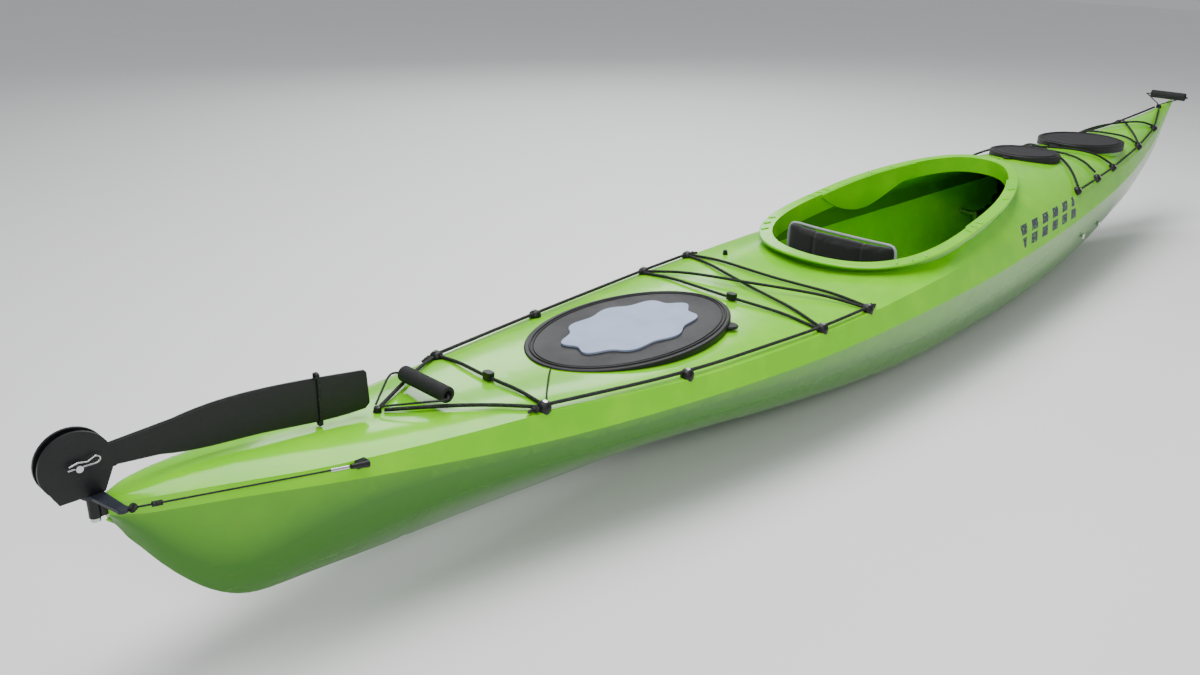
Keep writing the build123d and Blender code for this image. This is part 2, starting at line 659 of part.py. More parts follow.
stern_anchor = deck_button(ANCHOR_X, 0, 9, 10, 6)
bow_anchor = deck_button(along(2052), 0, 11, 12, 8)
deck_eye = deck_button(along(640), 0, 10, 11, 6)
bungee_hook = deck_button(along(-452), 196, 8, 12, 5)


def cord_stop(x, y, lift, size, heading):
    """A squeeze lock moulded round a bungee."""
    seat = deck_plane(x, y, lift)
    with BuildPart() as stop:
        with BuildSketch(Plane(seat.origin - seat.z_dir * 4, x_dir=heading, z_dir=seat.z_dir)):
            RectangleRounded(size, 16, 5)
        extrude(amount=15)
    return stop.part


def middle_of(first, last, part=0.5):
    return first[0] + (last[0] - first[0]) * part, first[1] + (last[1] - first[1]) * part


straight = guide_side(-693, -1, -9, 9), guide_side(-693, 1, -9, 9)
bungee_lock = cord_stop(*middle_of(*straight, 0.46), 7, 24, (0, 1, 0))
across = guide_side(-1408, -1, 2, 10), guide_side(-1408, 1, 2, 10)
stern_lock = cord_stop(*middle_of(*across, 0.5), 7, 22, (0, 1, 0))

# ---------------------------------------------------------------- grab toggles
TOGGLE_CORD = 4.0


def toggle(x, z):
    """A foam tube across the boat."""
    with BuildPart() as tube:
        with BuildSketch(Plane((x, TOGGLE_LENGTH / 2, z), x_dir=(1, 0, 0), z_dir=(0, -1, 0))):
            Circle(TOGGLE_RADIUS)
            Circle(TOGGLE_BORE, mode=Mode.SUBTRACT)
        extrude(amount=TOGGLE_LENGTH)
        fillet(tube.edges().filter_by(GeomType.CIRCLE).filter_by(lambda e: e.radius > TOGGLE_RADIUS - 1), 3)
    return tube.part


def toggle_cord(x, z, eye_x, eye_z, name):
    """The loop through a toggle, back to the eye that it swings on."""
    ahead = 1 if x > eye_x else -1
    reach = TOGGLE_LENGTH / 2
    points = [
        (eye_x + ahead * 2, -6, eye_z),
        (x - ahead * 34, -reach - 2, z),
        (x - ahead * 14, -reach - 16, z),
        (x, -reach - 2, z),
    ]
    mirrored = [(a, -b, c) for a, b, c in reversed(points)]
    return cord_along(points + [(x, -10, z - 0.4), (x, 10, z - 0.4)] + mirrored, TOGGLE_CORD, name)


STERN_TOGGLE_X = along(-1548)
stern_toggle_z = deck_height(STERN_TOGGLE_X, 0) + TOGGLE_RADIUS + CORD + 7
stern_eye_z = deck_height(ANCHOR_X, 0) + 12.4
stern_toggle = toggle(STERN_TOGGLE_X, stern_toggle_z)
stern_toggle_cord = toggle_cord(STERN_TOGGLE_X, stern_toggle_z, ANCHOR_X, stern_eye_z, "stern toggle")
BOW_TOGGLE_X, BOW_EYE_X = along(2140), along(2052)
bow_toggle_z = deck_height(BOW_TOGGLE_X, 0) + TOGGLE_RADIUS + 12
bow_eye_z = deck_height(BOW_EYE_X, 0) + 14.4
bow_toggle = toggle(BOW_TOGGLE_X, bow_toggle_z)
bow_toggle_cord = toggle_cord(BOW_TOGGLE_X, bow_toggle_z, BOW_EYE_X, bow_eye_z, "bow toggle")

# ---------------------------------------------------------------- rudder
PIN, PIN_FIT, PINTLE = 5.0, 0.06, 4.0
HEAD_HALF = SHEAVE_WIDTH / 2 + 0.6
HEAD_FLOOR, YOKE_TOP, YOKE_THICKNESS = RUDDER_Z - SHEAVE_RADIUS - 0.6, RUDDER_Z - HEAD_RADIUS - 0.4, 6.0
YOKE_BOTTOM = YOKE_TOP - YOKE_THICKNESS
TUBE_TOP, TUBE_BOTTOM, TUBE_RADIUS = YOKE_BOTTOM - 0.6, 306.0, 8.5

with BuildPart() as rudder_head:
    for side in (-1, 1):
        near = side * HEAD_HALF
        with BuildSketch(Plane.XZ.offset(-near)):
            with Locations((RUDDER_X, RUDDER_Z)):
                Circle(HEAD_RADIUS)
            with BuildLine():
                Polyline(
                    (RUDDER_X - 48, RUDDER_Z - 12), (RUDDER_X - 30, YOKE_TOP + 0.4), (STEER_X + 16, YOKE_TOP + 0.4),
                    (RUDDER_X + 46, RUDDER_Z - 20), close=True,
                )
            make_face()
        extrude(amount=-side * CHEEK)
    with Locations(((RUDDER_X - 4 + STEER_X + 16) / 2, 0, (YOKE_TOP + 0.4 + HEAD_FLOOR) / 2)):
        Box(STEER_X + 16 - RUDDER_X + 4, 2 * HEAD_HALF, HEAD_FLOOR - YOKE_TOP - 0.4)
    with Locations((STEER_X, 0, HEAD_FLOOR)):
        Cylinder(PINTLE + PIN_FIT, 60, mode=Mode.SUBTRACT)
    with Locations((RUDDER_X, 0, RUDDER_Z)):
        Cylinder(PIN + PIN_FIT, 80, rotation=(90, 0, 0), mode=Mode.SUBTRACT)

with BuildPart() as rudder_yoke:
    with BuildSketch(Plane.XY.offset(YOKE_BOTTOM)):
        with Locations((STEER_X, 0)):
            Circle(15)
        for side in (-1, 1):
            with BuildLine():
                Polyline(
                    (STEER_X - 9, 0), (STEER_X + 6, side * (YOKE_REACH + 2)), (STEER_X + 20, side * YOKE_REACH),
                    (STEER_X + 13, 0), close=True,
                )
            make_face()
            with Locations((STEER_X + 13, side * YOKE_REACH)):
                Circle(8)
    extrude(amount=YOKE_THICKNESS)
    fillet(rudder_yoke.edges().group_by(Axis.Z)[-1], 1)
    with Locations((STEER_X, 0, YOKE_BOTTOM)):
        Cylinder(PINTLE + PIN_FIT, 60, mode=Mode.SUBTRACT)

with BuildPart() as pintle_pin:
    with BuildSketch(Plane.XY.offset(TUBE_BOTTOM - 6)):
        with Locations((STEER_X, 0)):
            Circle(7)
    extrude(amount=5.4)
    with BuildSketch(Plane.XY.offset(TUBE_BOTTOM - 6)):
        with Locations((STEER_X, 0)):
            Circle(PINTLE)
    extrude(amount=HEAD_FLOOR - TUBE_BOTTOM + 6)

with BuildPart() as rudder_gudgeon:
    with BuildSketch(Plane.XY.offset(TUBE_BOTTOM)):
        with Locations((STEER_X, 0)):
            Circle(TUBE_RADIUS)
    extrude(amount=TUBE_TOP - TUBE_BOTTOM)
    tube_wall = STEER_X + PINTLE + 2, STERN_X - SEAT_GAP
    with Locations(((tube_wall[0] + tube_wall[1]) / 2, 0, 318)):
        Box(tube_wall[1] - tube_wall[0], 15, 22)
    with Locations((STEER_X, 0, TUBE_TOP)):
        Cylinder(PINTLE + 0.08, 120, mode=Mode.SUBTRACT)

TIP_X, KNEE_X = STEER_X + 454.0, STEER_X + 256.0
with BuildPart() as rudder_blade:
    with BuildSketch(Plane.XZ):
        with BuildLine():
            Polyline((RUDDER_X + 20, RUDDER_Z + 12), (RUDDER_X + 130, RUDDER_Z + 19))
            Spline(
                (RUDDER_X + 130, RUDDER_Z + 19), (RUDDER_X + 215, RUDDER_Z + 27), (KNEE_X, RUDDER_Z + 25),
                (TIP_X - 60, RUDDER_Z + 9), (TIP_X - 4, RUDDER_Z + 1),
            )
            Polyline(
                (TIP_X - 4, RUDDER_Z + 1), (TIP_X, RUDDER_Z - 4), (TIP_X + 3, RUDDER_Z - 60), (TIP_X - 6, RUDDER_Z - 68)
            )
            Spline(
                (TIP_X - 6, RUDDER_Z - 68), (TIP_X - 110, RUDDER_Z - 61), (KNEE_X, RUDDER_Z - 49),
                (RUDDER_X + 170, RUDDER_Z - 39), (RUDDER_X + 110, RUDDER_Z - 26),
            )
            Polyline((RUDDER_X + 110, RUDDER_Z - 26), (RUDDER_X + 20, RUDDER_Z - 16), (RUDDER_X + 20, RUDDER_Z + 12))
        make_face()
    extrude(amount=BLADE_THICKNESS / 2, both=True)
    flat_edges = rudder_blade.faces().filter_by(Axis.Y).edges()
    chamfer(flat_edges.filter_by(lambda e: e.center().X > RUDDER_X + 112), 2.5)
    with BuildSketch(Plane.XZ):
        with Locations((RUDDER_X, RUDDER_Z)):
            Circle(SHEAVE_RADIUS)
    extrude(amount=SHEAVE_WIDTH / 2, both=True)
    with Locations((RUDDER_X, 0, RUDDER_Z)):
        Cylinder(PIN + PIN_FIT, 80, rotation=(90, 0, 0), mode=Mode.SUBTRACT)

CLIP, CLIP_Y = 2.6, -18.0
with BuildPart() as pivot_pin:
    with BuildSketch(Plane.XZ.offset(-HEAD_HALF - CHEEK - 0.4)):
        with Locations((RUDDER_X, RUDDER_Z)):
            Circle(PIN + 5)
    extrude(amount=-5)
    with BuildSketch(Plane.XZ.offset(-HEAD_HALF - CHEEK - 0.4)):
        with Locations((RUDDER_X, RUDDER_Z)):
            Circle(PIN)
    extrude(amount=HEAD_HALF + CHEEK + 0.4 - CLIP_Y + 5)
    with Locations((RUDDER_X, CLIP_Y, RUDDER_Z)):
        Cylinder(CLIP / 2 + 0.3, 40, rotation=(0, 90, 0), mode=Mode.SUBTRACT)

with BuildPart() as retaining_clip:
    with BuildLine():
        wire = FilletPolyline(
            (RUDDER_X - 14, CLIP_Y, RUDDER_Z), (RUDDER_X + 24, CLIP_Y, RUDDER_Z),
            (RUDDER_X + 34, CLIP_Y, RUDDER_Z + 5), (RUDDER_X + 24, CLIP_Y, RUDDER_Z + 11),
            (RUDDER_X + 12, CLIP_Y, RUDDER_Z + 5.5), (RUDDER_X, CLIP_Y, RUDDER_Z + 8), (RUDDER_X - 12, CLIP_Y, RUDDER_Z + 5),
            radius=[4, 4, 4, 4, 4],
        )
    with BuildSketch(Plane(origin=wire @ 0, z_dir=wire % 0)):
        Circle(CLIP / 2)
    sweep()

TIE_X, TIE = TIP_X - 95.0, 2.6
with BuildPart() as blade_tie:
    with BuildSketch(Plane.YZ.offset(TIE_X)):
        with Locations((0, RUDDER_Z - 24.5)):
            RectangleRounded(BLADE_THICKNESS + 0.8 + 2 * TIE, 88 + 2 * TIE, 5)
            RectangleRounded(BLADE_THICKNESS + 0.8, 88, 3, mode=Mode.SUBTRACT)
    extrude(amount=2 * TIE)

# ---------------------------------------------------------------- rudder cables
CABLE, GLAND = 3.0, 4.0
gland_x = along(-1777)
gland_section = Section(gland_x)


def gland_point(side):
    return Vector(gland_x, side * (gland_section.edge[0] + 9), gland_section.edge[1] - 4)


def rudder_cable(side):
    """A cable pulled straight from a yoke end to its gland, with the knot near the yoke."""
    eye = Vector(STEER_X + 13, side * YOKE_REACH, YOKE_TOP - YOKE_THICKNESS / 2)
    way = (gland_point(side) - eye).normalized()
    start, stop = eye + way * 8.5, gland_point(side) - way * 0.3
    with BuildPart() as cable:
        with BuildSketch(Plane(start, z_dir=way)):
            Circle(CABLE / 2)
        extrude(amount=(stop - start).length)
        with BuildSketch(Plane(start + way * 30, z_dir=way)):
            Circle(4)
        extrude(amount=14)
    return cable.part


port_rudder_cable, starboard_rudder_cable = rudder_cable(1), rudder_cable(-1)

with BuildPart() as cable_glands:
    for side in (-1, 1):
        way = (gland_point(side) - Vector(STEER_X + 13, side * YOKE_REACH, YOKE_BOTTOM + 3)).normalized()
        with BuildSketch(Plane(gland_point(side), z_dir=way)):
            Circle(GLAND)
        extrude(amount=30, taper=-4)
        with Locations(gland_point(side) + way * 20 - Vector(0, side * 8, 0)):
            Box(18, 16, 12)
    add(Pos(0, 0, SEAT_GAP) * outer_form, mode=Mode.SUBTRACT)

# ---------------------------------------------------------------- rear hatch trim
panel_hatch = hatches["rear"]
WAVES, WAVE = 9, 0.06
with BuildPart() as hatch_panel:
    with BuildSketch(panel_hatch.plane.offset(SEAT_GAP)):
        with BuildLine():
            wave_points = []
            for i in range(72):
                angle = 2 * pi * i / 72
                swell = 1 + WAVE * cos(WAVES * angle)
                wave_points.append((168 * swell * cos(angle), 98 * swell * sin(angle)))
            Spline(*wave_points, periodic=True)
        make_face()
    extrude(amount=4)

pieces = {
    "hull_shell": drilled_hull.part,
    "deck_shell": deck_shell.part,
    "cockpit_coaming": cockpit_coaming.part,
    "thigh_braces": thigh_braces.part,
    "aft_bulkhead": aft_bulkhead,
    "fore_bulkhead": fore_bulkhead,
    "rear_hatch_rim": rims["rear"],
    "day_hatch_rim": rims["day"],
    "front_hatch_rim": rims["front"],
    "rear_hatch_lid": lids["rear"],
    "day_hatch_lid": lids["day"],
    "front_hatch_lid": lids["front"],
    "hatch_panel": hatch_panel.part,
    "seat_pan": seat_pan.part,
    "seat_pad": seat_pad.part,
    "backrest_pad": backrest_pad.part,
    "backrest_piping": backrest_piping.part,
    "backrest_frame": backrest_frame.part,
    "backrest_bracket": backrest_bracket.part,
    "backrest_pivot": backrest_pivot.part,
    "foot_brace_rails": foot_brace_rails.part,
    "foot_brace_bolts": foot_brace_bolts.part,
    "port_pedal": port_pedal,
    "starboard_pedal": starboard_pedal,
    "deck_guides": deck_guides.part,
    "guide_screws": guide_screws.part,
    "aft_perimeter_line": aft_perimeter_line,
    "fore_perimeter_line": fore_perimeter_line,
    "aft_bungees": aft_bungees,
    "fore_bungees": fore_bungees,
    "stern_lines": stern_lines,
    "stern_anchor": stern_anchor,
    "bow_anchor": bow_anchor,
    "deck_eye": deck_eye,
    "bungee_hook": bungee_hook,
    "bungee_lock": bungee_lock,
    "stern_lock": stern_lock,
    "stern_toggle": stern_toggle,
    "stern_toggle_cord": stern_toggle_cord,
    "bow_toggle": bow_toggle,
    "bow_toggle_cord": bow_toggle_cord,
    "rudder_head": rudder_head.part,
    "rudder_yoke": rudder_yoke.part,
    "pintle_pin": pintle_pin.part,
    "rudder_gudgeon": rudder_gudgeon.part,
    "rudder_blade": rudder_blade.part,
    "pivot_pin": pivot_pin.part,
    "retaining_clip": retaining_clip.part,
    "blade_tie": blade_tie.part,
    "port_rudder_cable": port_rudder_cable,
    "starboard_rudder_cable": starboard_rudder_cable,
    "cable_glands": cable_glands.part,
}
for name, piece in pieces.items():
    piece.label = name
    export_step(piece, f"parts/{name}.step")
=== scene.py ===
# %% [markdown]
# # A touring kayak, finished in Blender
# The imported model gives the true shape, size and motion of every rigid piece. This lesson loads it,
# sets up a camera and a studio, mixes a finish for each stuff that the boat is made of, and then
# makes the soft and fine pieces that a solid can't show.

# %% Load the frame
import math

import bmesh
import bpy
from mathutils import Matrix, Vector


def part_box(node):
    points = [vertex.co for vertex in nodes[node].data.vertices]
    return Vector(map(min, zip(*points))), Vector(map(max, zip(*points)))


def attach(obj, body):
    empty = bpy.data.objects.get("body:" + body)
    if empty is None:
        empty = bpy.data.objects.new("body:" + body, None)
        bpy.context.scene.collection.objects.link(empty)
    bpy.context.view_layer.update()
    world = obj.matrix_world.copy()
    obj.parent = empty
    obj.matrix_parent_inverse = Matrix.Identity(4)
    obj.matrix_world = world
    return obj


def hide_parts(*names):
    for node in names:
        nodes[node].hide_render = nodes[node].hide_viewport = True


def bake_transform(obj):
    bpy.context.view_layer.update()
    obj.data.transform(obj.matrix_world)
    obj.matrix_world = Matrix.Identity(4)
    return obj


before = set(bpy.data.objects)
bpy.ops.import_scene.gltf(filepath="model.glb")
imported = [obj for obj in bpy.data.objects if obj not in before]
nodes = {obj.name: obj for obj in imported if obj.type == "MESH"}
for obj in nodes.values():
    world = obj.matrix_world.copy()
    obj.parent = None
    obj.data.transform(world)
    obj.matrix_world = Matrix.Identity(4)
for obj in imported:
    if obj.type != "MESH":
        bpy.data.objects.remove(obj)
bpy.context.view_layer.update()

# %% [markdown]
# ## The camera
# The eye stands off the starboard quarter, a little above the deck, and looks forward along the
# boat. A heading, a pitch and a small roll say this more plainly than three Euler angles, so the
# camera's three axes are worked out from them.

# %% Camera
EYE = Vector((-2.558, -1.400, 1.111))
HEADING, PITCH, ROLL = math.radians(45.95), math.radians(21.88), math.radians(1.29)
LENS_MM, SENSOR_MM = 31.94, 36.0


def linked(name, data):
    """An object for the data, in the scene's collection."""
    made = bpy.data.objects.new(name, data)
    bpy.context.collection.objects.link(made)
    return made


forward = Vector(
    (math.sin(HEADING) * math.cos(PITCH), math.cos(HEADING) * math.cos(PITCH), -math.sin(PITCH))
)
level_right = Vector((math.cos(HEADING), -math.sin(HEADING), 0))
level_up = level_right.cross(forward)
right = level_right * math.cos(ROLL) + level_up * math.sin(ROLL)
up = level_up * math.cos(ROLL) - level_right * math.sin(ROLL)
camera_data = bpy.data.cameras.new("camera")
camera_data.lens, camera_data.sensor_width = LENS_MM, SENSOR_MM
camera = linked("camera", camera_data)
camera.matrix_world = Matrix(
    (
        (right.x, up.x, -forward.x, EYE.x),
        (right.y, up.y, -forward.y, EYE.y),
        (right.z, up.z, -forward.z, EYE.z),
        (0, 0, 0, 1),
    )
)
bpy.context.scene.camera = camera
print("camera at", tuple(round(v, 3) for v in EYE))

# %% [markdown]
# ## Shader maths
# A finish is a graph of nodes, but it reads best as a sum. The class below wraps one socket, so that
# `1 - mask` or `grain * 0.2` adds the Math node for us. A second class holds the graph of one finish
# and has one method that makes any node, with its settings first and its inputs second.

# %% Sockets that do sums


class Value:
    """One output socket, which adds a Math node when it is used in a sum."""

    def __init__(self, finish, socket):
        self.finish, self.socket = finish, socket

    def maths(self, operation, *operands):
        inputs = dict(enumerate(operands))
        return self.finish.node("ShaderNodeMath", {"operation": operation}, inputs)

    def __add__(self, other):
        return self.maths("ADD", self, other)

    def __radd__(self, other):
        return self.maths("ADD", other, self)

    def __sub__(self, other):
        return self.maths("SUBTRACT", self, other)

    def __rsub__(self, other):
        return self.maths("SUBTRACT", other, self)

    def __mul__(self, other):
        return self.maths("MULTIPLY", self, other)

    def __rmul__(self, other):
        return self.maths("MULTIPLY", other, self)

    def __gt__(self, other):
        return self.maths("GREATER_THAN", self, other)

    def __lt__(self, other):
        return self.maths("LESS_THAN", self, other)

    def wave(self):
        return self.maths("SINE", self)

    def size(self):
        return self.maths("ABSOLUTE", self)

    def over(self, low, high, new_low=0.0, new_high=1.0):
        """This value, spread from one range to another and held inside it."""
        return self.finish.node(
            "ShaderNodeMapRange",
            {"clamp": True},
            {"Value": self, "From Min": low, "From Max": high, "To Min": new_low, "To Max": new_high},
        )


# %% One finish


class Finish:
    """The material of one stuff, and the graph behind it."""

    def __init__(self, name):
        self.material = bpy.data.materials.new(name)
        self.material.use_nodes = True
        self.tree = self.material.node_tree
        self.tree.nodes.clear()
        self.place = self.node("ShaderNodeTexCoord", output="Object")
        split = self.node("ShaderNodeSeparateXYZ", inputs={0: self.place})
        self.x, self.y, self.z = (Value(self, s) for s in split.socket.node.outputs)

    def node(self, kind, settings=None, inputs=None, output=0):
        made = self.tree.nodes.new(kind)
        for key, setting in (settings or {}).items():
            setattr(made, key, setting)
        for key, given in (inputs or {}).items():
            if isinstance(given, Value):
                self.tree.links.new(given.socket, made.inputs[key])
            else:
                made.inputs[key].default_value = given
        return Value(self, made.outputs[output]) if made.outputs else None

    def noise(self, scale, detail=2.0, roughness=0.5, stretch=None):
        place = self.place
        if stretch:
            place = self.node(
                "ShaderNodeVectorMath", {"operation": "MULTIPLY"}, {0: self.place, 1: stretch}
            )
        sizes = {"Vector": place, "Scale": scale, "Detail": detail, "Roughness": roughness}
        return self.node("ShaderNodeTexNoise", inputs=sizes)

    def cells(self, scale, output="Distance"):
        sizes = {"Vector": self.place, "Scale": scale}
        return self.node("ShaderNodeTexVoronoi", inputs=sizes, output=output)

    def mix(self, factor, first, second):
        return self.node(
            "ShaderNodeMix",
            {"data_type": "RGBA"},
            {0: factor, 6: self.colour(first), 7: self.colour(second)},
            output=2,
        )

    def colour(self, given):
        return given if isinstance(given, Value) else (*given, 1.0)

    def bump(self, height, strength, distance, under=None):
        inputs = {"Height": height, "Strength": strength, "Distance": distance}
        if under:
            inputs["Normal"] = under
        return self.node("ShaderNodeBump", inputs=inputs)

    def surface(self, base, roughness, normal=None, **constants):
        """Ends the graph: a Principled shader, its constants set on its own sockets."""
        inputs = {"Base Color": self.colour(base), "Roughness": roughness}
        if normal:
            inputs["Normal"] = normal
        for key, constant in constants.items():
            inputs[key.replace("_", " ").title().replace("Ior", "IOR")] = constant
        shader = self.node("ShaderNodeBsdfPrincipled", inputs=inputs)
        self.node("ShaderNodeOutputMaterial", inputs={"Surface": shader})
        return self.material


# %% [markdown]
# ## Moulded green plastic
# The shells are polyethylene: bright, glossy and faintly uneven, like the skin of an orange, with
# long fine scratches low down, where the boat is dragged up beaches. Broad noise shifts the green,
# fine noise makes the skin, and noise that is stretched along the boat makes the scratches. Low down,
# faces that point to the ground are darkened to a deeper green, which is painted shade. The decal is
# stripes cut from a sine wave, with a gap along the middle, and worn away in spots.

# %% Green plastic
LIME, DEEP_LIME, PALE_LIME = (0.22, 0.74, 0.0), (0.17, 0.64, 0.0), (0.29, 0.82, 0.002)
# Painted shade: the deep green that downward faces low on the hull are mixed towards.
PAINTED_SHADE_GREEN = (0.035, 0.18, 0.0)
SCRATCH_GREEN = (0.30, 0.60, 0.10)
MARK_GREY = (0.030, 0.036, 0.060)
# The striped decal: where it lies along the boat, how high, and how its stripes lean.
DECAL_AFT, DECAL_FORE = 0.30, 0.74
DECAL_LOW, DECAL_MIDDLE, DECAL_HIGH, DECAL_GAP = 0.262, 0.290, 0.318, 0.0035
SHEER_RISE = 0.012
STRIPE_LEAN, STRIPE_TURNS, STRIPE_CUT = 0.7, 76.0, -0.15


def moulded_green(name, decal=False):
    f = Finish(name)
    broad = f.noise(3.0, 3.0).over(0.35, 0.65)
    green = f.mix(broad, DEEP_LIME, LIME)
    blush = f.noise(14.0, 4.0).over(0.45, 0.75, 0.0, 0.5)
    green = f.mix(blush, green, PALE_LIME)
    # Painted shade: faces that point down, below about 0.3 m, are mixed towards a deeper green to
    # stand in for the shade under the chine.
    facing = f.node("ShaderNodeNewGeometry", output="Normal")
    painted_underside_shade = f.node("ShaderNodeSeparateXYZ", inputs={0: facing}, output=2).over(0.15, -0.30)
    green = f.mix(painted_underside_shade * f.z.over(0.36, 0.30), green, PAINTED_SHADE_GREEN)
    scratch_run = f.noise(70.0, 6.0, 0.7, (0.12, 1.0, 1.6))
    scratches = scratch_run.over(0.60, 0.66) * f.z.over(0.02, 0.22, 0.8, 0.06)
    green = f.mix(scratches * 0.18, green, SCRATCH_GREEN)
    if decal:
        slant = f.x - f.z * STRIPE_LEAN
        stripe = (slant * STRIPE_TURNS).wave() > STRIPE_CUT
        span = (f.x > DECAL_AFT) * (f.x < DECAL_FORE)
        rise = f.z - f.x * SHEER_RISE
        band = (rise > DECAL_LOW) * (rise < DECAL_HIGH)
        gap = (rise - DECAL_MIDDLE).size() > DECAL_GAP
        mark = stripe * span * band * gap * (f.y < 0.0)
        worn = f.noise(160.0, 4.0).over(0.30, 0.42)
        green = f.mix(mark * worn, green, MARK_GREY)
    skin = f.noise(420.0, 2.0)
    ripple = f.noise(26.0, 2.0)
    normal = f.bump(skin, 0.06, 0.0006)
    normal = f.bump(ripple, 0.05, 0.004, normal)
    normal = f.bump(scratches, 0.15, 0.0004, normal)
    roughness = 0.16 + f.noise(60.0, 3.0) * 0.08 + scratches * 0.2
    gloss = {"coat_weight": 0.15, "coat_roughness": 0.05, "specular_ior_level": 0.36}
    return f.surface(green, roughness, normal, **gloss)


green_shell = moulded_green("green_shell", decal=True)
green_trim = moulded_green("green_trim")
print("green mixed")

# %% [markdown]
# ## Rubber, foam and black nylon
# The black pieces look alike at a glance, but each breaks the light in its own way. Hatch rubber is
# charcoal and bloomed with pale dust, nylon has a fine spark-eroded grain, and foam is full of pores.

# %% Black stuffs


def lid_rubber():
    f = Finish("lid_rubber")
    bloom = f.noise(9.0, 5.0, 0.6).over(0.4, 0.75)
    base = f.mix(bloom, (0.0065, 0.0062, 0.0070), (0.016, 0.015, 0.017))
    specks = f.noise(700.0, 2.0).over(0.66, 0.78) * 0.5
    base = f.mix(specks, base, (0.06, 0.06, 0.06))
    grain = f.noise(900.0, 3.0)
    normal = f.bump(f.noise(120.0, 3.0), 0.12, 0.0008, f.bump(grain, 0.25, 0.0003))
    return f.surface(base, 0.46 + bloom * 0.18, normal, specular_ior_level=0.35)


def black_nylon(name, base=(0.004, 0.004, 0.005), light=(0.012, 0.012, 0.014), rough=0.38):
    f = Finish(name)
    worn = f.noise(40.0, 5.0, 0.65).over(0.45, 0.8)
    grain = f.cells(1500.0)
    normal = f.bump(f.noise(90.0, 3.0), 0.08, 0.0008, f.bump(grain, 0.18, 0.0002))
    scuff = f.noise(240.0, 5.0, 0.7, (0.3, 1.0, 1.0)).over(0.62, 0.7) * 0.5
    colour = f.mix(scuff, f.mix(worn, base, light), (0.035, 0.035, 0.035))
    return f.surface(colour, rough + worn * 0.2, normal, specular_ior_level=0.35)


def foam():
    f = Finish("black_foam")
    pores = f.cells(900.0)
    base = f.mix(pores.over(0.1, 0.5), (0.003, 0.003, 0.004), (0.014, 0.014, 0.015))
    normal = f.bump(f.noise(160.0, 4.0), 0.3, 0.001, f.bump(pores, 0.5, 0.0006))
    return f.surface(base, 0.78 + f.noise(80.0) * 0.15, normal)


rubber, nylon, foam_black = lid_rubber(), black_nylon("black_nylon"), foam()
yoke_composite = black_nylon("yoke_composite", (0.014, 0.018, 0.027), (0.028, 0.034, 0.048), 0.42)
print("black stuffs mixed")

# %% [markdown]
# ## The rear lid's grey panel
# The wavy panel on the rear lid is a stiff pale plastic with a stippled face and some grime. Cells
# make the stipple, and broad noise tints it unevenly, as sun and wear do.

# %% Grey hatch panel


def hatch_grey():
    f = Finish("hatch_grey")
    tint = f.noise(18.0, 3.0).over(0.35, 0.7)
    base = f.mix(tint, (0.30, 0.38, 0.56), (0.38, 0.46, 0.64))
    stipple = f.cells(420.0)
    grime = f.noise(55.0, 5.0, 0.7).over(0.58, 0.8) * 0.35
    base = f.mix(grime, base, (0.22, 0.25, 0.32))
    normal = f.bump(stipple, 0.35, 0.0005)
    return f.surface(base, 0.55 + tint * 0.12, normal)


panel_grey = hatch_grey()

# %% [markdown]
# ## Cord and cloth
# Deck line is a braid: two sets of strands cross at a slant, with a lighter tracer strand among the
# black ones. Cells a strand wide give the bumps, and a few of them take the tracer's colour. Cloth is
# two sets of yarns at right angles, and each is a sine of one coordinate.

# %% Braid and cloth
STRANDS = 430.0  # strands in a metre
TRACER = (0.05, 0.085, 0.035)


def braid():
    f = Finish("cord_braid")
    strand, pick = f.cells(STRANDS), f.cells(STRANDS, "Color")
    chosen = f.node("ShaderNodeSeparateColor", inputs={0: pick}) > 0.74
    base = f.mix(strand.over(0.1, 0.6), (0.012, 0.013, 0.012), (0.002, 0.002, 0.002))
    base = f.mix(chosen * strand.over(0.15, 0.5, 1.0, 0.0), base, TRACER)
    normal = f.bump(1 - strand, 0.9, 0.0010)
    return f.surface(base, 0.62 + strand * 0.2, normal)


def cloth(name, dark, light, yarn=0.0011):
    f = Finish(name)
    turns = math.pi / yarn
    warp = ((f.y + f.x * 0.35) * turns).wave()
    weft = ((f.z + f.x * 0.65) * turns).wave()
    weave = (warp * weft).over(-1.0, 1.0)
    wear = f.noise(24.0, 5.0, 0.6).over(0.4, 0.75)
    base = f.mix(weave, dark, light)
    lint = f.noise(900.0, 2.0).over(0.68, 0.8) * 0.4
    base = f.mix(wear * 0.3 + lint, base, tuple(c * 1.7 for c in light))
    normal = f.bump(weave, 0.6, 0.0005)
    normal = f.bump(f.noise(60.0, 3.0), 0.2, 0.002, normal)
    roughness = 0.8 + f.noise(50.0) * 0.12
    return f.surface(base, roughness, normal, sheen_weight=0.5, sheen_roughness=0.4)


cord_braid = braid()
seat_cloth = cloth("seat_cloth", (0.0025, 0.0025, 0.003), (0.011, 0.011, 0.012))
piping_cloth = cloth("piping_cloth", (0.22, 0.24, 0.27), (0.42, 0.44, 0.48), 0.0008)
print("braid and cloth mixed")

# %% [markdown]
# ## Metals
# Screws, pins and bolts are stainless steel, and the foot rails are anodised alloy. Both are brushed,
# so one noise, stretched along the boat, gives the streaks in the tone, the bump and the roughness.

# %% Metals


def metal(name, base, rough, stretch):
    f = Finish(name)
    brush = f.noise(300.0, 4.0, 0.7, stretch)
    tone = f.mix(brush.over(0.3, 0.7), tuple(c * 0.82 for c in base), base)
    normal = f.bump(brush, 0.12, 0.0002)
    return f.surface(tone, rough + brush * 0.16, normal, metallic=1.0)


steel = metal("stainless", (0.62, 0.62, 0.64), 0.18, (0.1, 1.0, 1.0))
alloy = metal("anodised_alloy", (0.46, 0.47, 0.50), 0.30, (0.05, 1.0, 1.0))
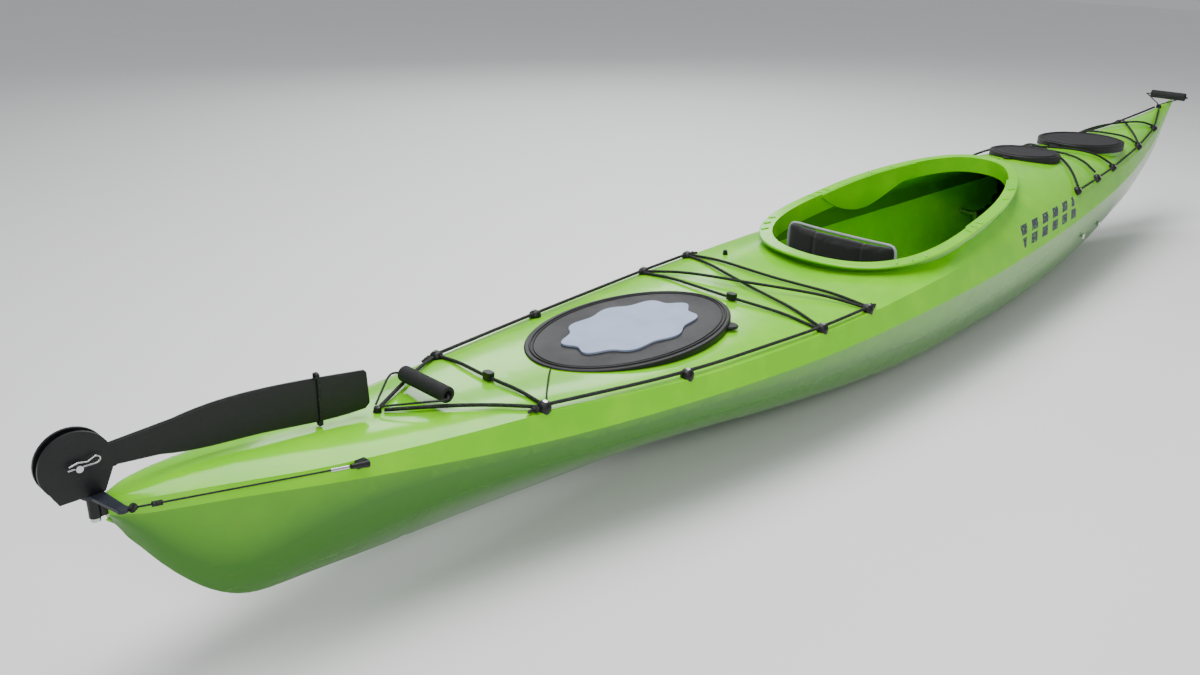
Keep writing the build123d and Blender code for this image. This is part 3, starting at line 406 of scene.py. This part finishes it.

# %% [markdown]
# ## Dress the rigid pieces
# The table below says which finish each CAD piece wears. A piece that has no entry wears black
# nylon, and the cell prints what is left over.

# %% Finishes for the CAD pieces
WEARS = {
    green_shell: ["hull_shell", "deck_shell"],
    green_trim: [
        "cockpit_coaming", "rear_hatch_rim", "day_hatch_rim", "front_hatch_rim", "seat_pan",
        "thigh_braces",
    ],
    rubber: ["rear_hatch_lid", "day_hatch_lid", "front_hatch_lid"],
    panel_grey: ["hatch_panel"],
    foam_black: ["aft_bulkhead", "fore_bulkhead", "stern_toggle", "bow_toggle"],
    cord_braid: [
        "aft_perimeter_line", "fore_perimeter_line", "aft_bungees", "fore_bungees", "stern_lines",
        "stern_toggle_cord", "bow_toggle_cord", "blade_tie", "port_rudder_cable",
        "starboard_rudder_cable",
    ],
    steel: [
        "guide_screws", "foot_brace_bolts", "pintle_pin", "pivot_pin", "retaining_clip",
        "backrest_pivot",
    ],
    alloy: ["foot_brace_rails"],
    yoke_composite: ["rudder_yoke"],
    seat_cloth: ["seat_pad", "backrest_pad"],
    piping_cloth: ["backrest_piping"],
}


def wear(obj, material):
    if not obj.material_slots:
        obj.data.materials.append(material)
    for place in obj.material_slots:
        place.material = material


dressed = {name: material for material, names in WEARS.items() for name in names}
for name, obj in nodes.items():
    wear(obj, dressed.get(name, nylon))
print("nylon by default:", sorted(set(nodes) - set(dressed)))

# %% [markdown]
# ## Seat pad and backrest
# Both are foam in a sewn cover. A solid block has dead straight sides, so each one is copied from its
# CAD solid, shrunk a little, remeshed evenly and blown up as cloth: pressure rounds the faces and
# leaves the corners pulled in, as a tight cover does. The cap keeps each point close to where it was.
# Seams come after that, because the remesh would erase them.

# %% Pads blown up as cloth
VOXEL, PRESSURE, CLOTH_STEPS = 0.005, 4, 20
PAD_INSET, PAD_CAP = 0.0045, 0.006
SEAM_DEPTH, SEAM_WIDTH = 0.0030, 0.0035


def corners(node):
    """A CAD piece's lowest and highest corners at rest."""
    return tuple(Vector(corner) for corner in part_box(node))


def smooth(mesh, material):
    """Gives a mesh smooth faces and one finish."""
    for face in mesh.polygons:
        face.use_smooth = True
    mesh.materials.clear()
    mesh.materials.append(material)


def baked(obj):
    """The object's mesh with its modifiers applied."""
    bpy.context.view_layer.update()
    seen = obj.evaluated_get(bpy.context.evaluated_depsgraph_get())
    mesh = bpy.data.meshes.new_from_object(seen)
    obj.modifiers.clear()
    return mesh


def pad_from(node, name):
    pad = linked(name, nodes[node].data.copy())
    shaped = bmesh.new()
    shaped.from_mesh(pad.data)
    bmesh.ops.remove_doubles(shaped, verts=shaped.verts, dist=1e-5)
    low, high = corners(node)
    middle, size = (low + high) / 2, high - low
    for vertex in shaped.verts:
        for axis in range(3):
            inset = PAD_INSET if axis < 2 else PAD_INSET / 3
            share = 1 - 2 * inset / size[axis]
            vertex.co[axis] = middle[axis] + (vertex.co[axis] - middle[axis]) * share
    shaped.to_mesh(pad.data)
    shaped.free()
    even = pad.modifiers.new("even", "REMESH")
    even.mode, even.voxel_size = "VOXEL", VOXEL
    pad.data = baked(pad)
    rest = [vertex.co.copy() for vertex in pad.data.vertices]
    cloth_modifier = pad.modifiers.new("cover", "CLOTH")
    cloth_modifier.settings.use_pressure = True
    cloth_modifier.settings.uniform_pressure_force = PRESSURE
    cloth_modifier.settings.effector_weights.gravity = 0
    for step in range(1, CLOTH_STEPS + 1):
        bpy.context.scene.frame_set(step)
    pad.data = baked(pad)
    bpy.context.scene.frame_set(1)
    for vertex, start in zip(pad.data.vertices, rest):
        move = vertex.co - start
        if move.length > PAD_CAP:
            vertex.co = start + move * (PAD_CAP / move.length)
    return pad


def sewn(pad, distance):
    """Sinks a seam wherever the distance, worked out from a point, is near nothing."""
    for vertex, normal in [(v, v.normal.copy()) for v in pad.data.vertices]:
        near = math.exp(-((distance(vertex.co) / SEAM_WIDTH) ** 2))
        vertex.co -= normal * SEAM_DEPTH * near


def soft_finish(pad, body, node):
    smooth(pad.data, seat_cloth)
    finer = pad.modifiers.new("finer", "SUBSURF")
    finer.levels = finer.render_levels = 1
    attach(pad, body)
    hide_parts(node)
    print(pad.name, len(pad.data.vertices), "points")


seat_cushion = pad_from("seat_pad", "seat_cushion")
sewn(seat_cushion, lambda at: abs(at.y) - 0.085)
sewn(seat_cushion, lambda at: at.x + 0.06)
soft_finish(seat_cushion, "hull", "seat_pad")
back_cushion = pad_from("backrest_pad", "back_cushion")
sewn(back_cushion, lambda at: abs(at.y) - 0.070)
sewn(back_cushion, lambda at: at.z - 0.215)
soft_finish(back_cushion, "backrest", "backrest_pad")

# %% [markdown]
# ## Fine pieces of the hatches
# A rubber lid carries a moulded bead just inside its edge, and a tab to pull it off by. The bead is a
# round cord of rubber laid on the lid: its plan is the lid's own oval, drawn in, and each point drops
# onto the lid by a ray, so it follows the crown and the tilt.

# %% Curves and drops


def tube(name, points, radius, material, closed=False):
    """A round cord of rubber, line or wire along a smooth curve, as a mesh."""
    data = bpy.data.curves.new(name, "CURVE")
    data.dimensions, data.bevel_depth, data.bevel_resolution = "3D", radius, 4
    data.use_fill_caps = True
    spline = data.splines.new("NURBS")
    spline.points.add(len(points) - 1)
    for knot_point, at in zip(spline.points, points):
        knot_point.co = (*at, 1)
    spline.order_u, spline.use_cyclic_u, spline.use_endpoint_u = 3, closed, not closed
    spline.resolution_u = 8
    made = linked(name, data)
    mesh = baked(made)
    bpy.data.objects.remove(made)
    made = linked(name, mesh)
    smooth(mesh, material)
    return made


def drop(node, x, y, rise=0.0):
    """The point on a CAD piece that lies under or over a place in plan."""
    hit, place, normal, _ = nodes[node].ray_cast(Vector((x, y, 1.0)), Vector((0, 0, -1)))
    if not hit:
        raise ValueError(f"{node} isn't under {x:.3f}, {y:.3f}")
    return place + normal * rise


def oval_of(node, inset, count=64):
    """Places in plan round the oval of a lid, drawn in by the inset."""
    low, high = corners(node)
    middle, reach = (low + high) / 2, (high - low) / 2 - Vector((inset, inset, 0))
    for step in range(count):
        turn = math.tau * step / count
        yield middle.x + reach.x * math.cos(turn), middle.y + reach.y * math.sin(turn)


# %% Beads on the lids
LIDS = {"rear_hatch_lid": "rear_lid", "day_hatch_lid": "day_lid", "front_hatch_lid": "front_lid"}
BEADS = ((0.012, 0.0024), (0.019, 0.0016))  # how far in from the edge, and how thick
BEAD_RISE = 0.0004
for node, body in LIDS.items():
    for number, (inset, radius) in enumerate(BEADS):
        ring = [drop(node, x, y, BEAD_RISE) for x, y in oval_of(node, inset)]
        bead = tube(f"{node}_bead_{number}", ring, radius, rubber, closed=True)
        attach(bead, body)
print("beads on", len(LIDS), "lids")

# %% [markdown]
# ## Pull tabs
# A tab is a flat tongue of the lid's own rubber. Its outline is drawn as one face, a straight root
# and a half round tip, then pushed down into a plate and bevelled all round, since moulded rubber
# has no sharp edge.

# %% Pull tabs
TAB_ROOT, TAB_SUNK, TAB_THICKNESS, TAB_ROUNDING, TAB_STEPS = 0.012, 0.006, 0.006, 0.0018, 12


def pull_tab(node, body, heading, width=0.036, reach=0.020):
    """A rounded tongue that grows out of a lid's edge, on a heading from the lid's middle."""
    low, high = corners(node)
    middle, half = (low + high) / 2, (high - low) / 2
    root = Vector((middle.x + half.x * math.cos(heading), middle.y + half.y * math.sin(heading), 0))
    out = Vector((math.cos(heading) / half.x, math.sin(heading) / half.y, 0)).normalized()
    across = Vector((-out.y, out.x, 0))
    on_lid = root - out * 0.010
    level = drop(node, on_lid.x, on_lid.y).z - TAB_SUNK
    shaped = bmesh.new()
    inner = root - out * TAB_ROOT
    outline = [inner + across * (width / 2), inner - across * (width / 2)]
    for step in range(TAB_STEPS + 1):
        turn = math.pi * (step / TAB_STEPS - 0.5)
        outline.append(root + out * (reach * math.cos(turn)) + across * (width / 2 * math.sin(turn)))
    ring = [shaped.verts.new((at.x, at.y, level)) for at in outline]
    face = shaped.faces.new(ring)
    raised = bmesh.ops.extrude_face_region(shaped, geom=[face])["geom"]
    for vertex in (item for item in raised if isinstance(item, bmesh.types.BMVert)):
        vertex.co.z -= TAB_THICKNESS
    bmesh.ops.recalc_face_normals(shaped, faces=shaped.faces)
    edges = shaped.edges[:]
    bmesh.ops.bevel(shaped, geom=edges, offset=TAB_ROUNDING, segments=3, affect="EDGES")
    mesh = bpy.data.meshes.new(f"{node}_tab")
    shaped.to_mesh(mesh)
    shaped.free()
    mesh.materials.append(rubber)
    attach(linked(f"{node}_tab", mesh), body)


pull_tab("rear_hatch_lid", "rear_lid", math.radians(-50))
pull_tab("front_hatch_lid", "front_lid", math.radians(172))
pull_tab("day_hatch_lid", "day_lid", math.radians(176), 0.030, 0.016)
print("tabs made")

# %% [markdown]
# ## Knots
# A knot is a real closed curve: the trefoil is the simplest one, and a thick round line along it
# looks like an overhand knot pulled tight. Tails stick out beside the knots, as they do on a boat that
# has been rigged by hand.

# %% Knots
KNOT_POINTS, KNOT_CORD = 36, 0.0028
STERN_GUIDE_X, BAND_GUIDE_X = -1.408, -0.521
GUIDE_REACH = 0.018


def knot(name, place, size, radius, body):
    """A trefoil, which reaches three units each way before it is drawn down to its size."""
    points = []
    for step in range(KNOT_POINTS):
        t = math.tau * step / KNOT_POINTS
        across, along = math.sin(t) + 2 * math.sin(2 * t), math.cos(t) - 2 * math.cos(2 * t)
        points.append(Vector(place) + Vector((across, along, -math.sin(3 * t))) * (size / 6))
    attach(tube(name, points, radius, cord_braid, closed=True), body)


def guide_box(side, station):
    """The middle of the guide nearest a station, on one side, from its own points in the mesh."""
    near = [v.co for v in nodes["deck_guides"].data.vertices if v.co.y * side > 0]
    near = [at for at in near if abs(at.x - station) < GUIDE_REACH]
    return sum(near, Vector()) / len(near)


for name, side, station, ahead in (
    ("stern_guide_knot", -1, STERN_GUIDE_X, -0.020), ("band_guide_knot", -1, BAND_GUIDE_X, 0.020),
    ("port_band_knot", 1, BAND_GUIDE_X, 0.020), ("port_stern_knot", 1, STERN_GUIDE_X, -0.020),
):
    at = guide_box(side, station)
    place = drop("deck_shell", at.x + ahead, at.y + side * -0.004, 0.006)
    knot(name, place, 0.013, KNOT_CORD, "hull")
    tail_end = drop("deck_shell", at.x + ahead * 1.8, at.y - side * 0.004, 0.004)
    crest = place.lerp(tail_end, 0.5) + Vector((0, 0, 0.003))
    tail = tube(f"{name}_tail", [place, crest, tail_end], KNOT_CORD, cord_braid)
    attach(tail, "hull")
print("knots tied")

# %% [markdown]
# ## The lid's tether
# A thin line ties the rear lid to a deck guide, so that it isn't lost. One end belongs to the lid and
# the other to the deck, so the line blends between the two bodies when the lid comes off.

# %% Lid tether
TETHER_Y, TETHER_RADIUS = -0.028, 0.0016
low, high = corners("rear_hatch_lid")
lid_top = drop("rear_hatch_lid", low.x + 0.008, TETHER_Y).z
lid_edge = Vector((low.x + 0.004, TETHER_Y, lid_top - 0.004))
anchor_guide = guide_box(-1, STERN_GUIDE_X)
route = [lid_edge]
for share, rise in ((0.25, 0.008), (0.5, 0.006), (0.75, 0.006)):
    plan = lid_edge.lerp(anchor_guide, share)
    route.append(drop("deck_shell", plan.x, plan.y, rise))
route.append(anchor_guide + Vector((0.010, 0.006, 0.004)))
tether = tube("lid_tether", route, TETHER_RADIUS, cord_braid)
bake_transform(tether)
print("tether", round(sum((b - a).length for a, b in zip(route, route[1:])), 3), "m")

# %% [markdown]
# ## Rudder cables
# Each cable runs from an arm of the yoke to a gland in the deck. The yoke turns and the gland
# doesn't, so a copy of the cable stands for the CAD one and blends from the rudder's head to the
# hull. A pressed steel ferrule sits at the gland, and a knot holds the yoke's end.

# %% Rudder cables
FERRULE_LENGTH, FERRULE_RADIUS = 0.034, 0.0032
END_DEPTH = 0.004  # how much of a cable's end is averaged to find its middle


def cable_points(node):
    """The two ends of a cable, from the extremes of its mesh along the boat."""
    spots = [vertex.co for vertex in nodes[node].data.vertices]
    aft, fore = min(at.x for at in spots), max(at.x for at in spots)
    ends = []
    for x in (aft, fore):
        near = [at for at in spots if abs(at.x - x) < END_DEPTH]
        ends.append(sum(near, Vector()) / len(near))
    return ends


for side, node in (("port", "port_rudder_cable"), ("starboard", "starboard_rudder_cable")):
    aft, fore = cable_points(node)
    along = (fore - aft).normalized()
    start = fore - along * FERRULE_LENGTH
    line = [start, start.lerp(fore, 0.5), fore - along * 0.004]
    ferrule = tube(f"{side}_ferrule", line, FERRULE_RADIUS, steel)
    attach(ferrule, "hull")
    cable = linked(f"{side}_cable", nodes[node].data.copy())
    wear(cable, cord_braid)
    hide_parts(node)
    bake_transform(cable)
    knot(f"{side}_yoke_knot", aft + along * 0.004, 0.014, 0.0024, "rudder_head")
print("cables finished")

# %% [markdown]
# ## Piping round the backrest
# The cover's grey piping runs up one side, over the top and down the other. Rays from ahead and from
# behind find the middle of the pad at each height, and the piping's line goes through those middles.

# %% Backrest piping
PIPING_RADIUS = 0.0036
AHEAD_X, BEHIND_X = 0.2, -0.6  # where the two rays start


def back_middle(y, z):
    """The middle of the pad's thickness at a place on its face."""
    faces = []
    for start, way in ((BEHIND_X, 1), (AHEAD_X, -1)):
        hit, place, _, _ = back_cushion.ray_cast(Vector((start, y, z)), Vector((way, 0, 0)))
        if not hit:
            raise ValueError(f"no backrest at {y:.3f}, {z:.3f}")
        faces.append(place.x)
    return sum(faces) / 2


low, high = corners("backrest_pad")
side_y, top_z = high.y - 0.004, high.z + 0.0015
run = [(side_y, z) for z in (0.24, 0.27, 0.30, 0.325)]
run += [(side_y - 0.003, top_z - 0.010), (side_y - 0.012, top_z - 0.001)]
run += [(side_y - 0.030, top_z), (side_y - 0.060, top_z), (0.05, top_z)]
points = []
for side, half_run in ((1, run), (-1, run[::-1])):
    for y, z in half_run:
        inside_y, inside_z = min(y, high.y - 0.016), min(z, high.z - 0.014)
        points.append(Vector((back_middle(side * inside_y, inside_z), side * y, z)))
piping = tube("back_piping", points, PIPING_RADIUS, piping_cloth)
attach(piping, "backrest")
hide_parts("backrest_piping")
print("piping", round(sum((b - a).length for a, b in zip(points, points[1:])), 3), "m")

# %% [markdown]
# ## Ribs on the coaming
# Short ribs cross the lip in groups, where the spray deck's shock cord grips. Each is a small bar
# with a rounded back, laid across the lip at a heading from the cockpit's middle.

# %% Coaming ribs
RIB_HEADINGS = (152, 147, 142, 112, 105, 98, 52, 38)
RIB_INSETS, RIB_RADIUS, RIB_RISE = (0.006, 0.026), 0.0026, 0.0006
FEEL_FROM, FEEL_STEP, FEEL_TO = 0.60, 0.001, 0.1
low, high = corners("cockpit_coaming")
lip_middle = (low.x + high.x) / 2


def lip_edge(heading):
    """How far from the cockpit's middle the lip's outer edge lies, felt by rays from outside."""
    reach, down = FEEL_FROM, Vector((0, 0, -1))
    while reach > FEEL_TO:
        at = Vector((math.cos(heading), math.sin(heading))) * reach
        if nodes["cockpit_coaming"].ray_cast(Vector((lip_middle + at.x, at.y, 1.0)), down)[0]:
            return reach
        reach -= FEEL_STEP
    raise ValueError("no lip there")


def lip_rib(heading, number):
    edge = lip_edge(heading)
    ends = []
    for inset in RIB_INSETS:
        at = Vector((math.cos(heading), math.sin(heading))) * (edge - inset)
        ends.append(drop("cockpit_coaming", lip_middle + at.x, at.y, RIB_RISE))
    line = [ends[0], ends[0].lerp(ends[1], 0.5), ends[1]]
    rib = tube(f"lip_rib_{number:02d}", line, RIB_RADIUS, green_trim)
    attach(rib, "hull")


for number, heading in enumerate(RIB_HEADINGS + tuple(-h for h in RIB_HEADINGS)):
    lip_rib(math.radians(heading), number)
print(2 * len(RIB_HEADINGS), "ribs")

# %% [markdown]
# ## Studio
# A pale floor and broad soft lights: one large sheet overhead, a smaller one off the starboard
# quarter for the long highlight on the near side, and a dim fill on the far side. The floor is stage,
# not part of the boat.

# %% Floor and lights
FLOOR_HALF, FLOOR_DROP = 14.0, 0.001
FLOOR_GREY, FLOOR_PALE = (0.90, 0.90, 0.895), (0.93, 0.93, 0.925)
SKY, SKY_POWER = (0.95, 0.97, 1.0, 1), 0.42


def studio_floor():
    mesh = bpy.data.meshes.new("floor")
    turns = ((-1, -1), (1, -1), (1, 1), (-1, 1))
    mesh.from_pydata([(x * FLOOR_HALF, y * FLOOR_HALF, 0) for x, y in turns], [], [(0, 1, 2, 3)])
    floor = linked("floor", mesh)
    floor.location.z = -FLOOR_DROP
    f = Finish("studio_floor")
    pale = f.mix(f.noise(2.0), FLOOR_GREY, FLOOR_PALE)
    wear(floor, f.surface(pale, 0.7 + f.noise(5.0) * 0.1))


def sheet_light(name, place, target, width, depth, power, colour=(1, 1, 1)):
    data = bpy.data.lights.new(name, "AREA")
    data.shape, data.size, data.size_y = "RECTANGLE", width, depth
    data.energy, data.color = power, colour
    lamp = linked(name, data)
    lamp.location = place
    lamp.rotation_euler = (Vector(target) - Vector(place)).to_track_quat("-Z", "Y").to_euler()


studio_floor()
sheet_light("overhead", (-0.2, 0.5, 3.4), (0, 0, 0.2), 5.0, 1.6, 175)
sheet_light("side", (-3.4, -3.6, 3.0), (-0.3, 0, 0.3), 3.0, 1.0, 75, (1.0, 0.99, 0.97))
sheet_light("behind", (2.2, 3.8, 2.8), (0.2, 0, 0.3), 3.0, 1.2, 60, (0.96, 0.98, 1.0))
world = bpy.data.worlds.new("studio")
bpy.context.scene.world = world
world.use_nodes = True
backdrop = world.node_tree.nodes["Background"]
backdrop.inputs["Color"].default_value, backdrop.inputs["Strength"].default_value = SKY, SKY_POWER
print("studio lit")
